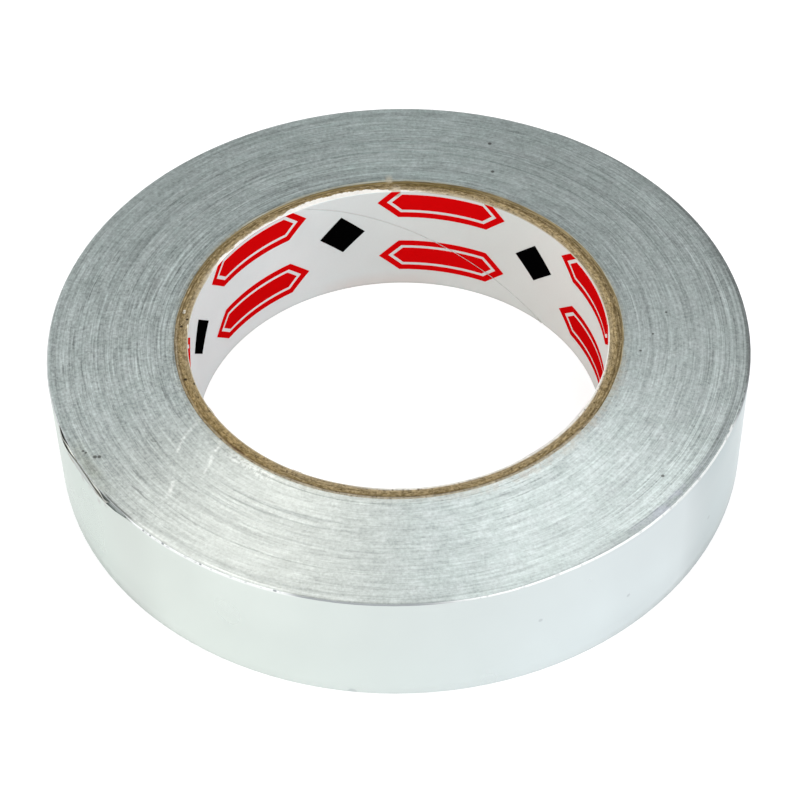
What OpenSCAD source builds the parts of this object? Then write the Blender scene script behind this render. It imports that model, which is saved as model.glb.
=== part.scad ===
// A roll of aluminium foil tape, lying flat on one of its ends.
// Tape is wound on a kraft paper tube, and printed paper lines the tube.
// The origin is on the roll's axis, at the end face that it lies on.

/* [Tape] */
// Width of the tape, which is the height of the roll as it lies
tape_w = 24; // [12:0.5:50]
// Outside diameter of the wound roll
roll_d = 127; // [100:1:200]
// Thickness of one turn: foil, adhesive and release paper
turn_t = 0.15; // [0.1:0.01:0.25]

/* [Turns on the end faces] */
// Mean width of a band of turns that lie level with one another
band_w = 1.3; // [1:0.05:4]
// Depth of the deepest band below the end faces
band_depth = 0.2; // [0.05:0.01:0.5]

/* [End of the tape] */
// Direction, seen from above, in which the outermost turn ends, stuck down
end_angle = 60; // [0:1:359]

/* [Torn sliver] */
// Direction, seen from above, of the root of a sliver torn from the outermost turn
sliver_angle = 200; // [0:1:359]
// Length of the sliver
sliver_len = 20.7; // [12:0.1:40]
// Height of the sliver at its root
sliver_root_h = 2.9; // [2:0.1:8]
// Height of the sliver at its tip
sliver_tip_h = 1.5; // [0.5:0.1:2]
// Gap between the roll and the sliver's tip
sliver_lift = 0.8; // [0.4:0.1:2]
// Length at the root of the sliver that still sticks to the roll
sliver_stuck = 6; // [5:0.5:10]
// Length over which the tear runs out beyond the sliver's tip
tear_run_out = 5.5; // [1:0.5:10]

/* [Core] */
// Diameter of the open bore
bore_d = 76.2; // [50:0.1:90]
// Wall of the kraft paper tube
tube_wall = 2.3; // [1:0.1:4]
// Number of plies in the wall of the tube
tube_plies = 3; // [2:1:5]
// Width of the line between two plies on the end faces of the tube
ply_line_w = 0.12; // [0.05:0.01:0.2]
// Depth of the line between two plies
ply_line_depth = 0.15; // [0.05:0.01:0.5]

/* [Lining] */
// Thickness of the printed paper that lines the tube
lining_t = 0.15; // [0.1:0.01:0.4]
// Direction, seen from above, in which the lining's seam crosses half height
seam_angle = 80; // [0:1:359]
// Slope of the seam from the level
seam_slope = 27; // [20:1:60]
// Width of the open seam
seam_gap = 0.25; // [0.1:0.05:1]

/* [Print] */
// Thickness of the film of ink
ink_t = 0.08; // [0.07:0.01:0.12]
// Largest spacing of the motifs around the bore
motif_pitch = 40; // [32:1:80]
// Height of the centre of the lower row of bars
row_z = 7.6; // [4:0.1:12]
// Spacing of the two rows of bars
row_pitch = 13.8; // [9:0.1:20]
// Direction, seen from above, of the first bar
print_angle = 76; // [0:1:359]
// Length of a red bar, from tip to tip
bar_len = 25; // [12:0.5:28]
// Height of a red bar
bar_h = 7.6; // [5:0.1:9]
// Distance of the bare line in a bar from the bar's edge
keyline_inset = 1.2; // [0.5:0.1:1.5]
// Width of the bare line in a bar
keyline_w = 0.7; // [0.3:0.1:0.8]
// Size of a black diamond, across its corners
diamond_w = 9; // [4:0.5:12]

/* [Hidden] */
$fn = 180;

// Overshoot of the cutting shapes
over = 1;

// Radii of the roll, from the bore outwards
bore_r = bore_d / 2;
tube_r = bore_r + lining_t;
tube_outer_r = tube_r + tube_wall;
roll_r = roll_d / 2;

// The bands of turns lie between tube_outer_r and roll_r. Bare margins of plain
// turns are left at both, and the bands' edges wander about an even spacing.
band_margin = 0.75 * band_w;
band_wander = 0.25 * band_w;
band_count = floor((roll_r - tube_outer_r) / band_w - 1.5);
golden_turn = 137.5;
function band_edge(i, phase) =
    tube_outer_r + band_margin + i * band_w + band_wander * sin(phase + i * golden_turn);
function band_drop(i, phase) = band_depth * (0.75 + 0.25 * cos(phase + 3 * i * golden_turn));

// Angle that a length takes up along an arc
function sweep(length, r) = length / r * 180 / PI;

// The sliver is an arc, wider than the roll and tangent to it at its root. The tear
// that it came from runs on past its tip.
sliver_r = 1 / (1 / roll_r - 2 * sliver_lift / (sliver_len * sliver_len));
tear_len = sliver_len + tear_run_out;

// The motifs are evenly spread, no wider apart than motif_pitch
motif_count = ceil(PI * bore_d / motif_pitch);
motif_step = 360 / motif_count;
// Where the prisms that cut out the motifs start, clear of their neighbours
motif_root = sqrt(bore_r * bore_r - bar_len * bar_len / 4) - over;

module ring(outer, inner, height) {
    difference() {
        cylinder(r = outer, h = height);
        translate([0, 0, -over]) cylinder(r = inner, h = height + 2 * over);
    }
}

// A flat sector from the X axis round to the given angle, reaching past radius r
module sector(angle, r) {
    polygon([[0, 0], [2 * r, 0], [2 * r * cos(angle), 2 * r * sin(angle)]]);
}

module ring_sector(outer, inner, angle) {
    intersection() {
        difference() {
            circle(r = outer);
            circle(r = inner);
        }
        sector(angle, outer);
    }
}

// Half of the plane: the side of the X axis that +Y points to
module upper_half(r) {
    translate([-2 * r, 0]) square([4 * r, 2 * r]);
}

// The spiral's outline in two half circles: the radius shrinks by one turn's
// thickness in going once round, and the step at the X axis is the end of the tape
module spiral_outline() {
    mirror([0, 1]) intersection() {
        circle(r = roll_r);
        upper_half(roll_r);
    }
    intersection() {
        translate([-turn_t / 2, 0]) circle(r = roll_r - turn_t / 2);
        upper_half(roll_r);
    }
}

// What lies above the lower edge of the tear. The edge rises from the sliver's root
// at the X axis to its tip, and then steeper to the edge of the tape.
module above_the_tear() {
    rotate([90, 0, 90])
        linear_extrude(2 * roll_r)
            polygon([
                [-over, tape_w - sliver_root_h],
                [0, tape_w - sliver_root_h],
                [sliver_len, tape_w - sliver_tip_h],
                [tear_len + over * tear_run_out / sliver_tip_h, tape_w + over],
                [-over, tape_w + over]
            ]);
}

// The place that the sliver was torn from, one turn deep
module tear() {
    intersection() {
        translate([0, 0, -over])
            linear_extrude(tape_w + 2 * over)
                ring_sector(roll_r + over, roll_r - turn_t, 2 * sweep(tear_len, roll_r));
        above_the_tear();
    }
}

// The sliver leaves the roll at the X axis. Its root still sticks, and beyond that
// a gap opens under it.
module sliver() {
    intersection() {
        translate([roll_r - sliver_r, 0, 0]) linear_extrude(tape_w) {
            ring_sector(sliver_r, sliver_r - turn_t, sweep(sliver_len, sliver_r));
            ring_sector(sliver_r, sliver_r - turn_t - sliver_lift, sweep(sliver_stuck, sliver_r));
        }
        above_the_tear();
    }
}

// Every other band of turns lies below the end face
module sunken_bands(phase) {
    for (i = [0 : 2 : band_count - 1]) {
        translate([0, 0, -band_drop(i, phase)])
            ring(band_edge(i + 1, phase), band_edge(i, phase), band_depth + over);
    }
}

// The wound tape: all its turns are one solid
module tape_roll() {
    color([0.80, 0.82, 0.84]) difference() {
        union() {
            difference() {
                rotate([0, 0, end_angle]) linear_extrude(tape_w) spiral_outline();
                rotate([0, 0, sliver_angle]) tear();
            }
            rotate([0, 0, sliver_angle]) sliver();
        }
        translate([0, 0, -over]) cylinder(r = tube_outer_r, h = tape_w + 2 * over);
        translate([0, 0, tape_w]) sunken_bands(0);
        mirror([0, 0, 1]) sunken_bands(90);
    }
}

// The lines between the tube's plies, sunk into one end face
module ply_lines() {
    for (i = [1 : tube_plies - 1]) {
        line_r = tube_r + i * tube_wall / tube_plies;
        translate([0, 0, -ply_line_depth])
            ring(line_r + ply_line_w / 2, line_r - ply_line_w / 2, ply_line_depth + over);
    }
}

// The kraft paper tube that the tape is wound on
module core_tube() {
    color([0.64, 0.54, 0.40]) difference() {
        ring(tube_outer_r, tube_r, tape_w);
        translate([0, 0, tape_w]) ply_lines();
        mirror([0, 0, 1]) ply_lines();
    }
}

// The slanted slit where the lining's two edges meet
module seam() {
    slit_len = tape_w / sin(seam_slope) + 2 * over;
    slit_depth = bore_r + lining_t;
    rotate([0, 0, seam_angle])
        translate([slit_depth, 0, tape_w / 2])
            rotate([seam_slope, 0, 0])
                cube([slit_depth, slit_len, seam_gap], center = true);
}

// The white paper that lines the tube
module core_lining() {
    color([0.88, 0.88, 0.87]) difference() {
        ring(tube_r, bore_r, tape_w);
        seam();
    }
}

// A bar with pointed ends, or a diamond where the length equals the height
module pointed_bar(length, height) {
    tip = length / 2;
    side = height / 2;
    shoulder = tip - side;
    polygon([
        [tip, 0], [shoulder, side], [-shoulder, side],
        [-tip, 0], [-shoulder, -side], [shoulder, -side]
    ]);
}

// A bar that follows inside another one, at a distance from its edge
module inner_bar(inset) {
    pointed_bar(bar_len - 2 * sqrt(2) * inset, bar_h - 2 * inset);
}

// A red bar with one bare line around its middle
module keyed_bar() {
    difference() {
        pointed_bar(bar_len, bar_h);
        difference() {
            inner_bar(keyline_inset);
            inner_bar(keyline_inset + keyline_w);
        }
    }
}

module diamond() {
    rotate(45) square(diamond_w / sqrt(2), center = true);
}

// A prism with a motif's outline that points outwards from the axis
module motif_prism(angle, height) {
    rotate([0, 0, angle])
        translate([motif_root, 0, height])
            rotate([90, 0, 90])
                linear_extrude(bore_r - motif_root + over) children();
}

// The film of ink that the given prisms cut from the wall of the bore
module ink() {
    difference() {
        intersection() {
            ring(bore_r, bore_r - ink_t, tape_w);
            children();
        }
        seam();
    }
}

// Two rows of red bars, in line above one another. The tube was cut through
// the upper row.
module print_red() {
    color([0.80, 0.05, 0.07]) ink() {
        for (i = [0 : motif_count - 1], row = [0, 1]) {
            motif_prism(print_angle + i * motif_step, row_z + row * row_pitch) keyed_bar();
        }
    }
}

// A black diamond in the middle of each four bars
module print_black() {
    color([0.09, 0.09, 0.10]) ink() {
        for (i = [0 : motif_count - 1]) {
            motif_prism(print_angle + (i + 0.5) * motif_step, row_z + row_pitch / 2) diamond();
        }
    }
}

tape_roll();
core_tube();
core_lining();
print_red();
print_black();
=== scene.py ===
# A roll of aluminium foil tape lying on a pale floor, seen from above its front edge.
# Sizes are in millimetres until a mesh or an object is made, and angles are in degrees,
# counted from +X towards +Y as seen from above. The camera stands on the -Y side.
import math
import bpy
import numpy as np
from mathutils import Matrix, Vector

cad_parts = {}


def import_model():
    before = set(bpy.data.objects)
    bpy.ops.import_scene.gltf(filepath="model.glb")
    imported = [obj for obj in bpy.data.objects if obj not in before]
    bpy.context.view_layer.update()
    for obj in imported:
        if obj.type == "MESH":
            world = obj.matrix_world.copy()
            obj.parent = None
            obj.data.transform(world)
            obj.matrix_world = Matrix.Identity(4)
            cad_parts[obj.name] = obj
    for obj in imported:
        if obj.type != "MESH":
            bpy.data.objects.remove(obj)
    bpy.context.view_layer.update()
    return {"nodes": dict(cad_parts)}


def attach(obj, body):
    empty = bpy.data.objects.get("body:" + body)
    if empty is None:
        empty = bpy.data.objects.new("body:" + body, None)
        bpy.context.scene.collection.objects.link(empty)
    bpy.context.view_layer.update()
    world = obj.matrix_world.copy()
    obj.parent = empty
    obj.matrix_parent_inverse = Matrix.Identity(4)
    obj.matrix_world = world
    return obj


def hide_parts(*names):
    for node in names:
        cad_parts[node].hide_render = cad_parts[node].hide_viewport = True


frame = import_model()

MM = 0.001
SEED = 20

# The roll, as in the part's source
ROLL_R = 63.5
TURN_T = 0.15
TAPE_W = 24.0
BAND_W = 1.3
BAND_MARGIN = 0.75 * BAND_W
BAND_WANDER = 0.25 * BAND_W
BAND_DEPTH = 0.2
END_ANGLE = 60.0
GOLDEN_TURN = 137.5
SLIVER_ANGLE = 200.0
SLIVER_LEN = 20.7
SLIVER_ROOT_H = 2.9
SLIVER_TIP_H = 1.5
SLIVER_LIFT = 0.8
TEAR_RUN_OUT = 5.5
TUBE_PLIES = 3
PLY_LINE_DEPTH = 0.15


def node_radius(node):
    """Radius of a round CAD node about the roll's axis"""
    vertices = frame["nodes"][node].data.vertices
    return max(math.hypot(v.co.x, v.co.y) for v in vertices) / MM


TUBE_OUTER_R = node_radius("core_tube")
TUBE_R = node_radius("core_lining")
TURNS = round((ROLL_R - TUBE_OUTER_R) / TURN_T)

# The camera: its aim in the photo's own frame of 800 by 800 pixels
IMAGE_W = 800
SENSOR_W = 36.0
FOCAL_PX = 2343.82
CAMERA_DOWN = 46.278
CAMERA_ROLL = 1.226
CAMERA_DISTANCE = 433.356
CAMERA_SHIFT_RIGHT = -0.0893
CAMERA_SHIFT_UP = 4.2159


def smoothstep(value, low, high):
    """0 below low, 1 above high, and a smooth rise between them"""
    t = np.clip((np.asarray(value, float) - low) / (high - low), 0, 1)
    return t * t * (3 - 2 * t)


def direction(angle, length=1.0):
    """x and y of a point at a length from the axis, in a direction"""
    turn = math.radians(angle)
    return length * math.cos(turn), length * math.sin(turn)


def on_wall(angle, z):
    """A place on the outer wall, from its direction and height"""
    return (*direction(angle, ROLL_R), z)


def new_object(name, data):
    """An object in the scene"""
    made = bpy.data.objects.new(name, data)
    bpy.context.scene.collection.objects.link(made)
    return made


# Materials

class Nodes:
    """The nodes of a material or a world, with short calls that add to them"""

    def __init__(self, owner):
        owner.use_nodes = True
        self.tree = owner.node_tree
        self.tree.nodes.clear()

    def feed(self, socket, value):
        """Links a socket to another one, or sets its value"""
        if isinstance(value, bpy.types.NodeSocket):
            self.tree.links.new(value, socket)
        else:
            socket.default_value = value

    def add(self, kind, *values, **settings):
        """A new node with its settings, and with values for its first inputs"""
        node = self.tree.nodes.new("ShaderNode" + kind)
        for name, setting in settings.items():
            setattr(node, name, setting)
        for socket, value in zip(node.inputs, values):
            self.feed(socket, value)
        return node

    def math(self, operation, a, b=0.0, c=0.0):
        return self.add("Math", a, b, c, operation=operation).outputs[0]


class Surface(Nodes):
    """A material's nodes, with short calls for what the materials here use"""

    def __init__(self, name):
        self.material = bpy.data.materials.new(name)
        super().__init__(self.material)
        self.shader = self.add("BsdfPrincipled")
        self.add("OutputMaterial", self.shader.outputs[0])
        place = self.add("TexCoord").outputs["Object"]
        self.place = self.vector("SCALE", place, scale=1 / MM)
        self.x, self.y, self.z = self.add("SeparateXYZ", self.place).outputs
        self.flat = self.vector("MULTIPLY", self.place, (1, 1, 0))
        self.radius = self.vector("LENGTH", self.flat)
        self.cos = self.math("DIVIDE", self.x, self.radius)
        self.sin = self.math("DIVIDE", self.y, self.radius)
        self.heading = self.combine(self.cos, self.sin, 0.0)

    def finish(self, colour, rough, normal, metallic=0.0, specular=0.5):
        """Feeds the shader and gives the material"""
        for name, value in (
            ("Base Color", colour), ("Roughness", rough), ("Normal", normal),
            ("Metallic", metallic), ("Specular IOR Level", specular),
        ):
            self.feed(self.shader.inputs[name], value)
        return self.material

    def times(self, first, *others):
        """Product of values"""
        for other in others:
            first = self.math("MULTIPLY", first, other)
        return first

    def scaled(self, value, factor, start=0.0):
        """start plus factor times the value"""
        return self.math("MULTIPLY_ADD", value, factor, start)

    def without(self, value, share):
        """What is left of a value after a share of it is taken away"""
        return self.times(value, self.math("SUBTRACT", 1.0, share))

    def centred(self, field):
        """A noise field around 0"""
        return self.math("SUBTRACT", field, 0.5)

    def most(self, first, *others):
        """Largest of the values"""
        for other in others:
            first = self.math("MAXIMUM", first, other)
        return first

    def grey(self, *levels):
        """Sum of noise fields, each with its amount, as a factor close to 1"""
        total = 1.0
        for field, amount in levels:
            total = self.scaled(self.centred(field), amount, total)
        return total

    def vector(self, operation, a, b=(0, 0, 0), scale=1.0):
        node = self.add("VectorMath", a, b, operation=operation)
        if operation == "SCALE":
            self.feed(node.inputs["Scale"], scale)
        single = operation in ("LENGTH", "DISTANCE", "DOT_PRODUCT")
        return node.outputs["Value" if single else "Vector"]

    def combine(self, x, y, z):
        return self.add("CombineXYZ", x, y, z).outputs[0]

    def rings(self, per_mm, along, height=0.0):
        """A place for noise that is stretched along the turns: per_mm cells across
        them, and about along cells in a sixth of a turn"""
        r = self.times(self.radius, per_mm)
        c = self.times(self.cos, along)
        s = self.scaled(self.sin, along, self.times(self.z, height))
        return self.combine(r, c, s)

    def noise(self, place, scale=1.0, detail=2.0, roughness=0.5):
        node = self.add("TexNoise", place)
        for name, value in (("Scale", scale), ("Detail", detail), ("Roughness", roughness)):
            node.inputs[name].default_value = value
        return node.outputs[0]

    def rise(self, value, low, high, start=0.0, end=1.0):
        """From start to end as the value goes from low to high, smoothly"""
        numbers = (value, low, high, start, end)
        return self.add("MapRange", *numbers, interpolation_type="SMOOTHSTEP").outputs[0]

    def window(self, value, low, high, soft):
        """1 between low and high, falling to 0 over a soft edge on both sides"""
        up = self.rise(value, low - soft, low + soft)
        return self.times(up, self.rise(value, high - soft, high + soft, 1.0, 0.0))

    def sector(self, angle, half_width, soft):
        """1 within half_width of a direction, falling to 0 over a soft edge"""
        toward = self.vector("DOT_PRODUCT", self.heading, (*direction(angle), 0))
        outer = math.cos(math.radians(min(half_width + soft, 179)))
        inner = math.cos(math.radians(max(half_width - soft, 0)))
        return self.rise(toward, outer, inner)

    def arc(self, low, high, soft):
        """1 between two directions, falling to 0 over a soft edge"""
        return self.sector((low + high) / 2, (high - low) / 2, soft)

    def patch(self, arc, low, high, soft):
        """1 on a part of a ring: between two directions and between two radii"""
        return self.times(self.arc(*arc), self.window(self.radius, low, high, soft))

    def spot(self, x, y, z, radius, soft=0.5):
        """1 at a place, falling to 0 at a radius from it"""
        away = self.vector("DISTANCE", self.place, (x, y, z))
        return self.rise(away, radius * soft, radius, 1.0, 0.0)

    def stroke(self, mark, end_z=TAPE_W):
        """1 on a straight mark that starts on the top face, falling to 0 at half its
        width. mark has its start, its end and its width."""
        start, end, width = mark
        start = (*start, TAPE_W)
        run = np.subtract((*end, end_z), start)
        from_start = self.vector("SUBTRACT", self.place, start)
        along = self.vector("DOT_PRODUCT", from_start, tuple(run / np.dot(run, run)))
        along = self.math("MINIMUM", self.math("MAXIMUM", along, 0.0), 1.0)
        nearest = self.vector("SCALE", tuple(run), scale=along)
        away = self.vector("DISTANCE", from_start, nearest)
        return self.rise(away, 0.0, width / 2, 1.0, 0.0)

    def mix(self, factor, a, b, blend="MIX"):
        """From colour a to colour b, or a times b, as the factor goes from 0 to 1"""
        node = self.add("Mix", factor, data_type="RGBA", blend_type=blend)
        colours = [s for s in node.inputs if s.type == "RGBA"]
        for socket, value in zip(colours, (a, b)):
            self.feed(socket, (*value, 1) if isinstance(value, tuple) else value)
        return [s for s in node.outputs if s.type == "RGBA"][0]

    def shade(self, colour, value):
        """A colour times a grey value"""
        return self.vector("SCALE", colour, scale=value)

    def bump(self, height, strength, distance, below=None):
        """A normal from a height field, on top of another one's. distance is in mm."""
        node = self.add("Bump", strength, distance * MM)
        self.feed(node.inputs["Height"], height)
        if below is not None:
            self.feed(node.inputs["Normal"], below)
        return node.outputs[0]


# The turns' edges on the end faces. Colours are in linear light, and marks are given by
# places, directions and radii, with their softness.
FACE_METAL = (0.395, 0.46, 0.445)
FACE_METAL_CLOUDED = (0.415, 0.455, 0.455)
FACE_METAL_FRONT = (0.425, 0.463, 0.447)
BROWN_FUZZ = (0.38, 0.31, 0.25)
GRIME = (0.375, 0.41, 0.36)
DULL_GREY = (0.375, 0.42, 0.425)
DULL_BLUE = (0.40, 0.43, 0.48)
TAN_TINGE = (0.30, 0.265, 0.165)
BOARD_DARK = (0.14, 0.10, 0.035)
BOARD_LIGHT = (0.33, 0.26, 0.13)
BOARD_SHADE = (0.72, 0.68, 0.5)
PAPER_LIP_HIGHLIGHT = (0.52, 0.50, 0.38)
SMEARED_TAN = (0.50, 0.44, 0.32)
SCRATCH_WHITE = (0.46, 0.46, 0.45)
SPECK_BLACK = (0.05, 0.05, 0.045)
# Share of the light that each of these rings, patches and sectors takes
DARK_RINGS = [((53.2, 54.3, 0.5), 0.09), ((61.2, 62.0, 0.4), 0.07)]
DARK_PATCHES = [
    # Painted shadow of the gap inside the outermost turns, at the right
    ((303, 342, 8), (61.3, 62.7, 0.3), 0.26),
    ((-12, 36, 6), (62.0, 62.7, 0.2), 0.15),
    ((-14, 36, 6), (62.75, 64.0, 0.12), 0.5),
    ((36, 62, 6), (63.0, 64.0, 0.2), 0.25),
    # Painted shadow beyond the tip of the sliver
    ((217, 224, 1), (62.9, 64.0, 0.1), 0.6),
    ((253.5, 277, 2), (62.95, 64.0, 0.15), 0.3),
    ((20, 160, 20), (41.3, 41.7, 0.2), 0.2),
]
# Painted shade in some sectors of the face
PAINTED_SHADE_ARCS = [((222, 318, 10), 0.025), ((202, 214, 10), 0.07), ((298, 309, 9), 0.08)]
FACE_SPECKS = [
    (-52.75, -29.3, 0.5), (-52.0, -29.3, 0.45), (-54.9, -27.9, 0.28), (-54.4, -28.3, 0.3),
    (18.8, 51.9, 0.5), (19.0, 43.5, 0.45), (43.4, -6.3, 0.3), (44.6, -36.5, 0.42),
    (48.9, 3.4, 0.3), (46.0, -2.1, 0.3),
]
FACE_SMUDGES = [(-53.6, -32.0, 3.0), (43.5, -24.0, 2.2)]
FACE_SCRATCHES = [
    ((-35.1, -21.0), (-37.8, -25.7), 1.2),
    ((-37.8, -25.7), (-38.6, -28.5), 0.9),
    ((-38.9, -35.5), (-39.6, -39.0), 1.2),
    ((-31.3, -26.6), (-33.3, -32.3), 1.3),
    ((-33.3, -32.3), (-33.7, -33.5), 0.9),
]
# The tube's end reaches a little further back than the roll's axis would have it
SEAT_X = 0.15
SEAT_Y = 0.58
SEAT_R = 40.65
SEAT_SOFT = 0.08
# A tan flake of the tube that is smeared over the face, and one that hangs into the bore
FACE_SMEAR = ((-1.2, 42.5), (-1.1, 41.4), 2.3)
CORE_FLAKE = ((0.2, 39.4), (0.2, 38.0), 2.6)


class TurnEdges(Surface):
    """The cut edges of the turns, with the noise fields that their marks share"""

    def __init__(self):
        super().__init__("turn_edges")
        self.grain = self.noise(self.place, scale=1.9, roughness=0.65)
        self.fine = self.noise(self.rings(3.4, 9.0), roughness=0.6)
        self.middle = self.noise(self.rings(1.6, 5.0))
        self.cloud = self.noise(self.place, scale=0.3)
        self.ragged = self.noise(self.rings(1.0, 38.0), detail=1.0)
        from_seat = self.vector("DISTANCE", self.flat, (SEAT_X, SEAT_Y, 0))
        self.seat_r = self.scaled(self.centred(self.middle), 0.5, from_seat)


def edge_texture(m):
    """Brightness of the fine lines, which are stronger in some zones than in others, lowered by
    painted shade in some sectors and a little towards +X
    """
    streaks = m.noise(m.rings(2.8, 1.6), roughness=0.6)
    inside = m.scaled(m.patch((70, 185, 20), 40.5, 47.5, 1.5), 0.9, 0.5)
    inside = m.scaled(m.sector(180, 15, 25), 0.25, inside)
    inside = m.scaled(m.arc(225, 315, 15), -0.25, inside)
    inside = m.scaled(m.patch((15, 75, 15), 40.5, 49.0, 1.5), 0.4, inside)
    hairlines = m.noise(m.rings(4.3, 2.4), detail=1.0)
    outside = m.times(m.patch((-50, 42, 15), 56.0, 62.5, 1.0), 1.15)
    value = m.grey(
        (m.grain, 1.05), (m.fine, 0.75), (m.middle, 0.3), (m.cloud, 0.25),
        (streaks, inside), (hairlines, outside),
    )
    contrast = m.scaled(m.sector(183, 10, 25), 0.3, 1.0)
    contrast = m.scaled(m.sector(260, 25, 22), -0.2, contrast)
    contrast = m.scaled(m.sector(68, 30, 28), -0.2, contrast)
    value = m.scaled(m.math("SUBTRACT", value, 1.0), contrast, 1.0)
    mottle = m.centred(m.noise(m.rings(0.7, 22.0), detail=1.0))
    mottled = m.most(m.sector(75, 30, 25), m.sector(270, 22, 15))
    value = m.scaled(mottle, m.times(mottled, 0.28), value)
    value = m.without(value, m.most(*[m.times(m.arc(*a), s) for a, s in PAINTED_SHADE_ARCS]))
    return m.scaled(m.x, -0.0005, value)


def edge_darkness(m):
    """Share of the light that single lines, rings, patches and smudges take, with painted shadow
    among them inside the rim at the right and beyond the sliver's tip
    """
    line_gap = m.math("ABSOLUTE", m.centred(m.noise(m.rings(0.6, 1.5))))
    lines = m.rise(line_gap, 0.0, 0.012, 1.0, 0.0)
    broken = m.rise(m.noise(m.rings(0.5, 6.0)), 0.5, 0.6)
    by_core = m.rise(m.radius, 40.6, 43.5, 0.16, 0.0)
    by_core = m.times(by_core, m.rise(m.grain, 0.3, 0.6, 1.3, 0.7))
    # Painted shadow: a thin dark line inside the rim at the right
    rim_shadow_line = m.patch((334, 358, 3), 62.62, 62.8, 0.08)
    ragged_rim = m.patch((338, 356, 3), 63.0, 63.3, 0.1)
    return m.most(
        m.times(lines, broken, m.rise(m.x, -50, -20, 0.38, 0.2)),
        m.times(by_core, m.scaled(m.arc(232, 318, 10), -0.9, 1.0)),
        m.times(rim_shadow_line, m.rise(m.middle, 0.35, 0.5), 0.5),
        m.times(ragged_rim, m.rise(m.ragged, 0.45, 0.58, 0.1, 0.6)),
        *[m.times(m.window(m.radius, *ring), s) for ring, s in DARK_RINGS],
        *[m.times(m.patch(arc, *ring), s) for arc, ring, s in DARK_PATCHES],
        *[m.times(m.spot(x, y, TAPE_W, r, 0.2), 0.16) for x, y, r in FACE_SMUDGES],
    )


def edge_metal(m, value):
    """The colour of the edges, with grime at the sliver and duller turns at the rim"""
    colour = m.mix(m.cloud, FACE_METAL, FACE_METAL_CLOUDED)
    colour = m.mix(m.sector(240, 20, 20), colour, FACE_METAL_FRONT)
    colour = m.shade(colour, value)
    fuzz = m.times(m.arc(285, 350, 15), m.window(m.radius, 40.0, 42.2, 0.6))
    fuzz = m.times(fuzz, m.rise(m.noise(m.place, scale=0.9), 0.45, 0.6), 0.25)
    colour = m.mix(fuzz, colour, BROWN_FUZZ)
    grime = m.patch((205.5, 215.5, 3), 61.0, 63.4, 0.8)
    grime = m.times(grime, m.rise(m.cloud, 0.35, 0.6, 0.25, 0.6))
    colour = m.mix(grime, colour, m.shade(GRIME, value))
    dull = m.patch((310, 344, 5), 61.3, 63.6, 0.3)
    dull = m.times(dull, m.rise(m.cloud, 0.42, 0.6, 0.1, 0.75))
    dull_colour = m.mix(m.arc(308, 320, 6), DULL_GREY, DULL_BLUE)
    return m.mix(dull, colour, m.shade(dull_colour, value))


def edge_by_the_tube(m, colour):
    """The tube's end where it reaches over the first turns, and paper round it, lightened
    as a painted highlight. Gives the colour and where it is paper."""
    blotch = m.rise(m.noise(m.place, scale=1.3), 0.4, 0.6, 0.35, 1.3)
    tinge = m.times(m.rise(m.radius, 40.5, 41.9, 1.0, 0.0), blotch)
    where = m.scaled(m.arc(-40, 172, 15), 0.25, 0.12)
    where = m.scaled(m.arc(58, 150, 12), 0.4, where)
    colour = m.mix(m.times(tinge, where), colour, TAN_TINGE)
    board = m.rise(m.seat_r, SEAT_R - SEAT_SOFT, SEAT_R + SEAT_SOFT, 1.0, 0.0)
    board_colour = m.mix(m.rise(m.fine, 0.35, 0.65), BOARD_DARK, BOARD_LIGHT)
    board_colour = m.mix(m.arc(66, 112, 8), board_colour, BOARD_SHADE, blend="MULTIPLY")
    colour = m.mix(board, colour, board_colour)
    # Pale paper beside the tube, lightened as a painted highlight where the tube stands proud
    lip_highlight = m.window(m.seat_r, SEAT_R + 0.1, SEAT_R + 0.5, 0.1)
    fringe = m.window(m.seat_r, SEAT_R - 0.02, SEAT_R + 0.1, 0.07)
    lip_highlight = m.most(m.times(lip_highlight, m.arc(60, 145, 12)), m.times(fringe, m.arc(-35, 45, 10)))
    lip_highlight = m.times(lip_highlight, m.rise(m.middle, 0.35, 0.58, 0.0, 0.6))
    colour = m.mix(lip_highlight, colour, PAPER_LIP_HIGHLIGHT)
    smear = m.stroke(FACE_SMEAR)
    smear = m.times(m.rise(smear, 0.0, 0.7), m.rise(m.radius, 41.3, 43.0, 0.8, 0.2))
    smear = m.times(smear, m.rise(m.grain, 0.35, 0.6, 0.5, 1.0))
    colour = m.mix(smear, colour, SMEARED_TAN)
    return colour, m.most(board, m.times(lip_highlight, 0.8), smear)


def edge_pale_marks(m):
    """Scratches, crumbs beside the tube, a painted highlight along the burred outer turns, and
    notches at the rim
    """
    scratches = m.most(*[m.stroke(scratch) for scratch in FACE_SCRATCHES])
    worn = m.rise(m.noise(m.place, scale=0.9), 0.38, 0.55, 0.2, 1.0)
    crumbs = m.patch((226, 237, 3), 40.8, 42.4, 0.5)
    # Painted highlight along the burred edges of the outer turns at the front left
    burr_highlight = m.patch((224, 252, 3), 62.65, 62.9, 0.12)
    notches = m.patch((316, 338, 3), 62.75, 64.0, 0.15)
    pale = m.times(scratches, worn, 0.27)
    pale = m.scaled(m.times(crumbs, m.rise(m.grain, 0.46, 0.56)), 0.2, pale)
    pale = m.scaled(m.times(burr_highlight, m.rise(m.middle, 0.36, 0.5, 0.3, 1.0)), 0.32, pale)
    return m.scaled(m.times(notches, m.rise(m.ragged, 0.5, 0.58)), 0.55, pale)


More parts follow.
